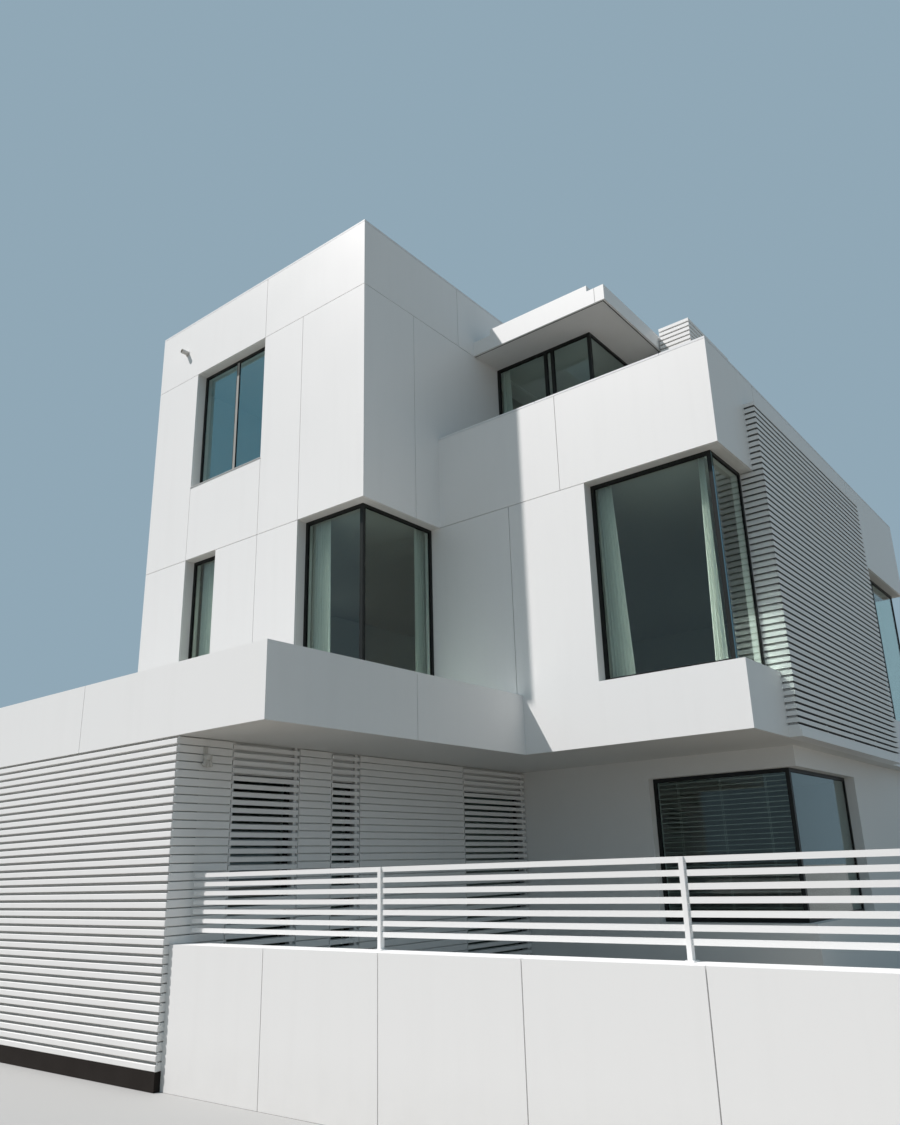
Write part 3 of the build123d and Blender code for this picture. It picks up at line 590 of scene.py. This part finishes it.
class HOUSE_OT_paint_house(bpy.types.Operator):
    """Paint the CAD model's nodes, and lay floors and gravel on the slabs' upper faces"""

    bl_idname = "house.paint_house"
    bl_label = "Paint House"

    def execute(self, context):
        entries = frame["record"]["subparts"]
        finishes = {entry["node"]: SLOT_FINISH[entry["material_slot"]] for entry in entries} | OWN_FINISH
        for node, finish in finishes.items():
            paint(node, finish)
        for inward, walls in ROOM_SIDES.items():
            for wall in walls:
                paint_where(wall, finishes[wall], "Room paint", lambda face, _: looks(face, inward))
        for node, floor in FLOORS.items():
            self.paint_floor(node, floor)
        self.paint_details()
        return {"FINISHED"}

    def paint_floor(self, node, floor):
        """Floor on a slab's upper faces, coping on its upstand, and the darkened room paint, painted shade,
        under the upper slabs.
        """
        finish, ceiling, coping = 1, 2, 3
        for polygon in paint(node, "Plaster", floor, "Room paint", "Coping").polygons:
            if looks(polygon, UP):
                raised = node == "first_floor" and polygon.center.z > FIRST_FLOOR + 0.01
                polygon.material_index = coping if raised else finish
            elif looks(polygon, DOWN) and node in ("second_floor", "tower_roof"):
                polygon.material_index = ceiling

    def paint_details(self):
        """Panes with a painted sky reflection and the post strip that mirrors it, roofing, painted shade on
        the screen's slat undersides, and the pale middle bar.
        """
        front = CORNER_Y + TOWER_REACH

        def in_top_window(face, _):
            return face.center.z > SECOND_FLOOR and face.center.x < CORNER_X - 0.1 and face.center.y < front

        # Painted reflection: the upper tower window's panes get the blue painted sky reflection
        paint_where("window_glass", "Green glass", "Coated glass", in_top_window)
        low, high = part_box("block_corner_frame")
        post_end, outside = low.y + 0.05, high.x - 0.01

        def on_post_side(face, places):
            on_post = all(place.y < post_end for place in places)
            return on_post and looks(face, RIGHT) and face.center.x > outside

        # Painted reflection: the right face of the block's corner post gets the blue painted sky reflection
        paint_where("block_corner_frame", "Dark frame", "Pane edge", on_post_side)
        paint_where("penthouse_roof", "White panel", "Roof membrane", lambda face, _: looks(face, UP))
        # Painted shade: the screen slats' downward faces get the dark painted shade finish
        paint_where("side_screen", "White slat", "Slat underside", lambda face, _: looks(face, DOWN))
        bars = [
            (low.x + 0.1, high.x - 0.1)
            for low, high in solids_of("window_frames")
            if high.x - low.x > 1 and low.y < front
        ]

        def on_bar_front(face, places):
            on_bar = any(all(start < place.x < end for place in places) for start, end in bars)
            return on_bar and face.center.y < front and looks(face, FRONT)

        paint_where("window_frames", "Dark frame", "Pale stile", on_bar_front)


# Modelling helpers


def deselect():
    """Nothing selected, so that an operator acts only on what is added next."""
    if bpy.context.object and bpy.context.object.mode != "OBJECT":
        bpy.ops.object.mode_set(mode="OBJECT")
    bpy.ops.object.select_all(action="DESELECT")


def choose(*objects):
    """Only these objects selected, the first of them active."""
    deselect()
    for piece in objects:
        piece.select_set(True)
    bpy.context.view_layer.objects.active = objects[0]


def set_place():
    """Move the active object's place, turn and scale into its mesh."""
    bpy.ops.object.transform_apply(location=True, rotation=True, scale=True)


def apply_modifier(piece, kind, **values):
    """Add a modifier to a piece and apply it."""
    choose(piece)
    modifier = piece.modifiers.new(kind.title(), kind)
    for name, value in values.items():
        setattr(modifier, name, value)
    bpy.ops.object.modifier_apply(modifier=modifier.name)


def block(name, low, high, edge, segments=2):
    """Bar or plate between two corners, its edges eased."""
    deselect()
    low, high = Vector(low), Vector(high)
    bpy.ops.mesh.primitive_cube_add(size=1, location=(low + high) / 2, scale=high - low)
    piece = bpy.context.object
    piece.name = name
    set_place()
    apply_modifier(piece, "BEVEL", width=edge, segments=segments, limit_method="ANGLE")
    return piece


def drum(name, centre, radius, depth, edge, turn=(0, 0, 0), sides=24):
    """Round bar or disc, its rims eased."""
    deselect()
    bpy.ops.mesh.primitive_cylinder_add(
        vertices=sides, radius=radius, depth=depth, location=centre, rotation=turn
    )
    piece = bpy.context.object
    piece.name = name
    set_place()
    apply_modifier(piece, "BEVEL", width=edge, segments=2, limit_method="ANGLE")
    return piece


def hollow_end(piece, towards, rim, depth):
    """Sink a drum's end face inside its rim."""
    choose(piece)
    bpy.ops.object.mode_set(mode="EDIT")
    bpy.ops.mesh.select_all(action="DESELECT")
    bpy.ops.object.mode_set(mode="OBJECT")
    ends = [face for face in piece.data.polygons if looks(face, towards)]
    end = max(ends, key=lambda face: face.area).index
    piece.data.polygons[end].select = True
    bpy.ops.object.mode_set(mode="EDIT")
    bpy.ops.mesh.inset(thickness=rim)
    bpy.ops.mesh.extrude_region_shrink_fatten(TRANSFORM_OT_shrink_fatten={"value": -depth})
    bpy.ops.object.mode_set(mode="OBJECT")


def join(name, pieces):
    """Several pieces made one object."""
    choose(*pieces)
    if len(pieces) > 1:
        bpy.ops.object.join()
    joined = bpy.context.object
    joined.name = name
    joined.data.name = name
    return joined


def copy_at(piece, offset):
    """A copy of a piece with its own mesh, moved by an offset."""
    copied = piece.copy()
    copied.data = piece.data.copy()
    copied.data.transform(Matrix.Translation(offset))
    bpy.context.collection.objects.link(copied)
    return copied


def fit(piece, finish, smooth=False):
    """Paint a finished piece and fix it to the house."""
    cover(piece.data, finish)
    if smooth:
        choose(piece)
        bpy.ops.object.shade_smooth_by_angle(angle=math.radians(35))
    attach(piece, "root")
    return piece


def solids_of(node):
    """Lowest and highest corner of each separate solid in a CAD node."""
    mesh = frame["nodes"][node].data
    leader = {}

    def find(key):
        while leader[key] != key:
            leader[key] = leader[leader[key]]
            key = leader[key]
        return key

    points = [tuple(round(c, 5) for c in vertex.co) for vertex in mesh.vertices]
    for point in points:
        leader.setdefault(point, point)
    for polygon in mesh.polygons:
        first = find(points[polygon.vertices[0]])
        for vertex in polygon.vertices[1:]:
            leader[find(points[vertex])] = first
    boxes = {}
    for point in leader:
        box = boxes.setdefault(find(point), [list(point), list(point)])
        for axis in range(3):
            box[0][axis] = min(box[0][axis], point[axis])
            box[1][axis] = max(box[1][axis], point[axis])
    return sorted((Vector(low), Vector(high)) for low, high in boxes.values())


# Pieces

# How a plane turns about the upright to face along X (0) or Y (1), backwards (-1) or forwards (1)
FACING = {(1, -1): 0, (1, 1): math.pi, (0, 1): math.pi / 2, (0, -1): -math.pi / 2}


def bead_ring(low, high, thin, side, sizes):
    """Bead round one face of a pane: a plane inset, opened and thickened."""
    across = 1 - thin
    centre = (low + high) / 2
    centre[thin] = high[thin] if side > 0 else low[thin]
    deselect()
    turn = (math.pi / 2, 0, FACING[thin, side])
    bpy.ops.mesh.primitive_plane_add(size=1, location=centre, rotation=turn)
    ring = bpy.context.object
    ring.scale = (high[across] - low[across], high.z - low.z, 1)
    set_place()
    bpy.ops.object.mode_set(mode="EDIT")
    bpy.ops.mesh.select_all(action="SELECT")
    bpy.ops.mesh.inset(thickness=sizes.bead_width)
    bpy.ops.mesh.delete(type="FACE")
    bpy.ops.object.mode_set(mode="OBJECT")
    apply_modifier(ring, "SOLIDIFY", thickness=sizes.bead_depth, offset=1)
    return ring


class HOUSE_OT_glazing_beads(bpy.types.Operator):
    """Run a rubber bead round both faces of every pane"""

    bl_idname = "house.glazing_beads"
    bl_label = "Glazing Beads"

    def execute(self, context):
        sizes = context.scene.house_fittings
        rings = []
        for low, high in solids_of("window_glass"):
            thin = 0 if high.x - low.x < high.y - low.y else 1
            for side in (-1, 1):
                rings.append(bead_ring(low, high, thin, side, sizes))
        fit(join("glazing_beads", rings), "Black bead")
        return {"FINISHED"}


def outward(low, high):
    """Which way a flat window faces: the thin axis and the sign along it."""
    if high.x - low.x > high.y - low.y:
        return 1, (-1 if low.y < CORNER_Y + TOWER_REACH else 1)
    return 0, (-1 if low.x < CORNER_X - 4 else 1)


class HOUSE_OT_window_sills(bpy.types.Operator):
    """Lay a thin sheet metal sill in front of every flat window that no louvre covers"""

    bl_idname = "house.window_sills"
    bl_label = "Window Sills"

    def execute(self, context):
        sizes = context.scene.house_fittings
        reach = sizes.reveal + sizes.sill_lip
        sills = []
        for low, high in solids_of("window_frames"):
            thin, side = outward(low, high)
            if thin == 0 and side > 0:
                continue
            start, end = low.copy(), high.copy()
            end.z = low.z + sizes.sill_thickness
            face = low[thin] if side < 0 else high[thin]
            start[thin], end[thin] = sorted((face, face + side * reach))
            sills.append(block("sill", start, end, edge=sizes.edge))
        fit(join("window_sills", sills), "Coping")
        return {"FINISHED"}


# A curtain's mesh, and how its pleats flatten at the head, drift and differ in depth
ROWS = 24
COLUMNS_TO_A_PLEAT = 14
FLATTENED = 0.35
DRIFT, DRIFT_RATE = 0.5, 1.7
UNEVEN, UNEVEN_RATE = 0.2, 2.3


def pleated_sheet(name, number, low, high, sizes, held_high, part, gather):
    """Curtain gathered at its head, with pleats that open out towards the hem, and its width laid flat."""
    along = 0 if high.x - low.x > high.y - low.y else 1
    across = 1 - along
    width = (high[along] - low[along]) * part
    pleats = max(2, round(width / sizes.pleat))
    columns = pleats * COLUMNS_TO_A_PLEAT
    deselect()
    bpy.ops.mesh.primitive_grid_add(x_subdivisions=columns, y_subdivisions=ROWS, size=1)
    curtain = bpy.context.object
    curtain.name = name
    middle = (low[across] + high[across]) / 2
    fixed, towards = (high[along], -1) if held_high else (low[along], 1)
    lengths = []
    for row in range(ROWS + 1):
        height = row / ROWS
        spread = width * (1 - gather * height) * towards
        swell = sizes.pleat_depth / 2 * (1 - FLATTENED * height)
        previous = None
        total = 0.0
        for column in range(columns + 1):
            turn = 2 * math.pi * pleats * (column / columns)
            drift = DRIFT * math.sin(DRIFT_RATE * turn / pleats + number) * (1 - height)
            depth = swell * (1 - UNEVEN + UNEVEN * math.sin(UNEVEN_RATE * turn + number))
            point = [0.0, 0.0, low.z + (high.z - low.z) * height]
            point[along] = fixed + spread * (column / columns)
            point[across] = middle + depth * math.sin(turn + drift)
            curtain.data.vertices[row * (columns + 1) + column].co = point
            if previous:
                total += math.dist(point, previous)
            previous = point
        lengths.append(total)
    return curtain, sum(lengths) / len(lengths)


def hanging(low, high, sizes):
    """Whether a curtain is held at its high end, its part of the width and what its head draws in."""
    at_corner = low.x > SCREEN[0].x - 0.7
    if high.y - low.y > high.x - low.x:
        return True, 1.0, 0.0
    if at_corner and low.y < CORNER_Y + BLOCK_REACH:
        return True, sizes.tied_share, sizes.tied_gather
    return at_corner, 1.0, (sizes.gather / 4 if high.x < CORNER_X else sizes.gather)


class HOUSE_OT_curtains(bpy.types.Operator):
    """Hang a pleated curtain in the place of each plain CAD one"""

    bl_idname = "house.curtains"
    bl_label = "Curtains"

    def execute(self, context):
        sizes = context.scene.house_fittings
        for number, (low, high) in enumerate(solids_of("curtains"), 1):
            hung = hanging(low, high, sizes)
            curtain, flat = pleated_sheet(f"curtain_{number}", number, low, high, sizes, *hung)
            fit(curtain, "Sheer curtain")
            choose(curtain)
            bpy.ops.object.shade_smooth()
            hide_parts("curtains")
        return {"FINISHED"}


class HOUSE_OT_window_blind(bpy.types.Operator):
    """Hang a slatted blind in the ground-storey window"""

    bl_idname = "house.window_blind"
    bl_label = "Window Blind"

    def execute(self, context):
        sizes = context.scene.house_fittings
        low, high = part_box("window_blind")
        middle = (low.y + high.y) / 2
        half = sizes.blind_width / 2
        near, far = middle - half, middle + half
        head_rail, foot_rail, slat, side_gap = 0.045, 0.020, 0.004, 0.004
        pieces = [
            block("head", (low.x, near, high.z - head_rail), (high.x, far, high.z), edge=0.002),
            block("foot", (low.x, near, low.z), (high.x, far, low.z + foot_rail), edge=0.002),
        ]
        top = high.z - head_rail - sizes.blind_pitch / 2
        start = (low.x + side_gap, near, top - slat / 2)
        end = (high.x - side_gap, far, top + slat / 2)
        first = block("slat", start, end, edge=0.0008)
        first.data.transform(Matrix.Translation((0, -middle, -top)))
        first.data.transform(Matrix.Rotation(-sizes.blind_tilt, 4, "X"))
        first.data.transform(Matrix.Translation((0, middle, top)))
        pieces.append(first)
        count = int((top - low.z - foot_rail - 0.01) / sizes.blind_pitch)
        for row in range(1, count + 1):
            pieces.append(copy_at(first, (0, 0, -row * sizes.blind_pitch)))
        for ladder in range(sizes.ladders):
            place = low.x + (high.x - low.x) * (ladder + 0.5) / sizes.ladders
            for side in (-1, 1):
                face = middle + side * half * 0.97
                start = (place - 0.002, face - 0.001, low.z + 0.01)
                end = (place + 0.002, face + 0.001, high.z - 0.02)
                pieces.append(block("cord", start, end, edge=0.0004, segments=1))
        blind = fit(join("slatted_blind", pieces), "Blind slat")
        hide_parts("window_blind")
        return {"FINISHED"}


class HOUSE_OT_screen_membrane(bpy.types.Operator):
    """Lay a backing membrane on the wall behind the side screen's slats, its near-black colour painted
    shade in the gaps
    """

    bl_idname = "house.screen_membrane"
    bl_label = "Screen Membrane"

    def execute(self, context):
        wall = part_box("block_side_panels")[1].x
        low = (wall, SCREEN[0].y + 0.04, SCREEN[0].z)
        high = (wall + 0.004, SCREEN[1].y - 0.04, SCREEN[1].z)
        # Painted shade: the membrane is dark so that the screen's gaps look shaded
        fit(block("screen_membrane", low, high, edge=0.0015), "Dark membrane")
        return {"FINISHED"}


class HOUSE_OT_railing_feet(bpy.types.Operator):
    """Bolt a base plate under each railing post"""

    bl_idname = "house.railing_feet"
    bl_label = "Railing Feet"

    def execute(self, context):
        sizes = context.scene.house_fittings
        margin = Vector((sizes.plate_margin, sizes.plate_margin, 0))
        head = 0.004
        pieces = []
        for low, high in solids_of("railing_posts"):
            top = low.z + sizes.plate_thickness
            near, far = low - margin, high + margin
            pieces.append(block("plate", near, (far.x, far.y, top), edge=sizes.edge))
            for x in (near.x + sizes.plate_margin / 2, far.x - sizes.plate_margin / 2):
                for y in (near.y + sizes.plate_margin, far.y - sizes.plate_margin):
                    place = (x, y, top + head / 2)
                    pieces.append(drum("bolt", place, sizes.bolt, head, edge=0.0006, sides=6))
        fit(join("railing_feet", pieces), "White railing")
        return {"FINISHED"}


class HOUSE_OT_wall_lamp(bpy.types.Operator):
    """Model the small lamp on the wing's side: plate, arm, body and three heads that look down"""

    bl_idname = "house.wall_lamp"
    bl_label = "Wall Lamp"

    def execute(self, context):
        low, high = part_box("wall_lamp")
        middle = (low.y + high.y) / 2
        sideways = (0, math.pi / 2, 0)
        out, spread, lift, lean = low.x + 0.045, 0.030, 0.006, math.radians(24)
        near = (low.x, middle - 0.022, high.z - 0.10)
        far = (low.x + 0.010, middle + 0.022, high.z)
        plate = block("plate", near, far, edge=0.003)
        arm = drum("arm", (low.x + 0.022, middle, high.z - 0.085), 0.009, 0.035, edge=0.001, turn=sideways)
        body = drum("body", (out, middle, high.z - 0.100), 0.040, 0.056, edge=0.018, sides=32)
        pieces = [plate, arm, body]
        for side in (-1, 0, 1):
            place = (out, middle + side * spread, low.z + 0.040 + abs(side) * lift)
            head = drum("head", place, 0.017, 0.060, edge=0.003, turn=(side * lean, 0, 0), sides=20)
            hollow_end(head, DOWN, 0.003, 0.010)
            pieces.append(head)
        lamp = fit(join("wall_lamp_fitting", pieces), "Grey fitting", smooth=True)
        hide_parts("wall_lamp")
        return {"FINISHED"}


class HOUSE_OT_spout(bpy.types.Operator):
    """Model the overflow spout on the tower: an open tube through a round wall flange"""

    bl_idname = "house.spout"
    bl_label = "Spout"

    def execute(self, context):
        low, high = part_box("tower_spout")
        middle = (low + high) / 2
        sideways = (math.pi / 2, 0, 0)
        sizes = context.scene.house_fittings
        reach = high.y - low.y
        place = (middle.x, high.y - reach / 2, middle.z)
        tube = drum("tube", place, sizes.spout, reach, edge=0.001, turn=sideways, sides=40)
        hollow_end(tube, FRONT, 0.003, reach * 0.9)
        thickness = 0.007
        place = (middle.x, high.y - thickness / 2, middle.z)
        radius = sizes.spout + 0.012
        flange = drum("flange", place, radius, thickness, edge=0.0015, turn=sideways, sides=40)
        spout = fit(join("overflow_spout", [tube, flange]), "Grey fitting", smooth=True)
        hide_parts("tower_spout")
        return {"FINISHED"}


class HOUSE_OT_fascia_joint(bpy.types.Operator):
    """Run a bead of sealant down the joint in the penthouse roof's front fascia"""

    bl_idname = "house.fascia_joint"
    bl_label = "Fascia Joint"

    def execute(self, context):
        sizes = context.scene.house_fittings
        low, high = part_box("penthouse_roof")
        place = high.x - sizes.fascia_joint
        near = (place, low.y - 0.001, low.z + 0.002)
        far = (place + sizes.sealant, low.y + 0.001, high.z - sizes.kerb - 0.002)
        fit(block("fascia_joint", near, far, edge=0.0005), "Grey backing")
        return {"FINISHED"}


class HOUSE_OT_roof_drip(bpy.types.Operator):
    """Set a drip strip behind the lower edge of the penthouse roof's fascia, coloured dark as painted shade
    for the shadow gap there
    """

    bl_idname = "house.roof_drip"
    bl_label = "Roof Drip"

    def execute(self, context):
        low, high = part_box("penthouse_roof")
        inset, width = 0.030, 0.016
        bottom, top = low.z + 0.001, low.z + 0.015
        corner = high.x - inset
        near, far = low.y + inset, low.y + inset + width
        front = block("front", (low.x, near, bottom), (corner, far, top), edge=0.002)
        side = block("side", (corner - width, far, bottom), (corner, high.y, top), edge=0.002)
        # Painted shade: the strip's dark finish stands in for the shade in the gap under the fascia
        fit(join("roof_drip", [front, side]), "Dark frame")
        return {"FINISHED"}


def gravel_bed(name, low, high, columns, rows):
    """Bed of loose gravel on the ledge's roof, its top raked unevenly."""
    deselect()
    middle = ((low[0] + high[0]) / 2, (low[1] + high[1]) / 2, FIRST_FLOOR + 0.045)
    bpy.ops.mesh.primitive_grid_add(x_subdivisions=columns, y_subdivisions=rows, size=1, location=middle)
    bed = bpy.context.object
    bed.name = name
    bed.scale = (high[0] - low[0], high[1] - low[1], 1)
    set_place()
    humps = bpy.data.textures.new("Raked gravel", "CLOUDS")
    humps.noise_scale = 0.35
    apply_modifier(bed, "DISPLACE", texture=humps, texture_coords="GLOBAL", strength=0.02, mid_level=0.5)
    apply_modifier(bed, "SOLIDIFY", thickness=0.03, offset=-1)
    return bed


class HOUSE_OT_ledge_gravel(bpy.types.Operator):
    """Lay gravel on the ledge's roof, inside its upstand"""

    bl_idname = "house.ledge_gravel"
    bl_label = "Ledge Gravel"

    def execute(self, context):
        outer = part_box("ledge_panels")
        inset, side_depth = 0.28, 1.45
        left, near, far = outer[0].x + inset, outer[0].y + inset, LEDGE_END - inset
        front = gravel_bed("front", (left, near), (far, CORNER_Y), 60, 16)
        side = gravel_bed("side", (CORNER_X, CORNER_Y), (far, CORNER_Y + side_depth), 10, 16)
        fit(join("ledge_gravel", [front, side]), "Roof gravel")
        return {"FINISHED"}


def seen_ray(tree):
    """One where the camera, a reflection or a pane looks, and nothing where light is gathered."""
    path = add(tree, "LightPath")
    direct = reckoned(tree, "MAXIMUM", (path, "Is Camera Ray"), (path, "Is Glossy Ray"))
    return reckoned(tree, "MAXIMUM", direct, (path, "Is Transmission Ray"))


class HOUSE_OT_set_stage(bpy.types.Operator):
    """Set the floor, the light and the camera at the photograph's viewing angle"""

    bl_idname = "house.set_stage"
    bl_label = "Set Stage"

    def execute(self, context):
        view = context.scene.house_stage
        context.scene.view_settings.view_transform = "Standard"
        deselect()
        bpy.ops.mesh.primitive_plane_add(size=500, location=(0, 0, -0.002))
        floor = context.object
        floor.name = "floor"
        set_place()
        finish = Finish("Floor", tuple(view.bounce), 0.9)
        finish.tint(tuple(view.floor), seen_ray(finish.tree))
        floor.data.materials.append(finish.material)
        self.set_world(context, view)
        bpy.ops.object.light_add(type="SUN", location=(0, 0, 12))
        sun = context.object
        sun.data.energy = view.sun
        sun.data.angle = view.sun_softness
        sun.data.color = view.key_light
        sun.rotation_euler = (math.pi / 2 - view.sun_height, 0, -view.sun_turn)
        bpy.ops.object.camera_add(location=view.camera_place)
        camera = context.object
        camera.name = "camera"
        camera.rotation_euler = (
            Matrix.Rotation(view.yaw, 4, "Z")
            @ Matrix.Rotation(math.pi / 2 + view.pitch, 4, "X")
            @ Matrix.Rotation(view.roll, 4, "Z")
        ).to_euler()
        camera.data.sensor_width = 36
        camera.data.lens = view.lens
        camera.data.shift_x = view.shift_x
        camera.data.shift_y = view.shift_y
        camera.data.clip_end = 300
        context.scene.camera = camera
        return {"FINISHED"}

    def set_world(self, context, view):
        """Soft light from all round, and a plain background where the camera or a reflection looks."""
        world = bpy.data.worlds.new("Soft light")
        context.scene.world = world
        world.use_nodes = True
        tree = world.node_tree
        light = tree.nodes["Background"]
        feed(tree, light, "Color", (*view.soft_light, 1))
        feed(tree, light, "Strength", view.sky)
        seen = add(tree, "Background", {"Color": (*view.background, 1)})
        inputs = {0: seen_ray(tree), 1: (light, "Background"), 2: (seen, "Background")}
        mix = add(tree, "MixShader", inputs)
        feed(tree, tree.nodes["World Output"], "Surface", (mix, "Shader"))


STEPS = (
    "mix_finishes",
    "paint_house",
    "glazing_beads",
    "window_sills",
    "curtains",
    "window_blind",
    "screen_membrane",
    "railing_feet",
    "wall_lamp",
    "spout",
    "fascia_joint",
    "roof_drip",
    "ledge_gravel",
    "set_stage",
)

GROUPS = {"house_colours": HouseColours, "house_fittings": HouseFittings, "house_stage": HouseStage}


class HOUSE_PT_panel(bpy.types.Panel):
    """Sidebar panel with the house's colours, fittings and steps"""

    bl_idname = "HOUSE_PT_panel"
    bl_label = "House"
    bl_space_type = "VIEW_3D"
    bl_region_type = "UI"
    bl_category = "House"

    def draw(self, context):
        for name, group in GROUPS.items():
            box = self.layout.box()
            for setting in group.__annotations__:
                box.prop(getattr(context.scene, name), setting)
        for step in STEPS:
            self.layout.operator(f"house.{step}")


CLASSES = (
    *GROUPS.values(),
    HOUSE_OT_mix_finishes,
    HOUSE_OT_paint_house,
    HOUSE_OT_glazing_beads,
    HOUSE_OT_window_sills,
    HOUSE_OT_curtains,
    HOUSE_OT_window_blind,
    HOUSE_OT_screen_membrane,
    HOUSE_OT_railing_feet,
    HOUSE_OT_wall_lamp,
    HOUSE_OT_spout,
    HOUSE_OT_fascia_joint,
    HOUSE_OT_roof_drip,
    HOUSE_OT_ledge_gravel,
    HOUSE_OT_set_stage,
    HOUSE_PT_panel,
)


def register():
    """Add the classes and the house's settings to Blender."""
    for each in CLASSES:
        bpy.utils.register_class(each)
    for name, group in GROUPS.items():
        setattr(bpy.types.Scene, name, PointerProperty(type=group))


def unregister():
    """Take the classes and the house's settings out again."""
    for name in GROUPS:
        delattr(bpy.types.Scene, name)
    for each in reversed(CLASSES):
        bpy.utils.unregister_class(each)


def main():
    register()
    for step in STEPS:
        getattr(bpy.ops.house, step)()


if __name__ == "__main__":
    main()
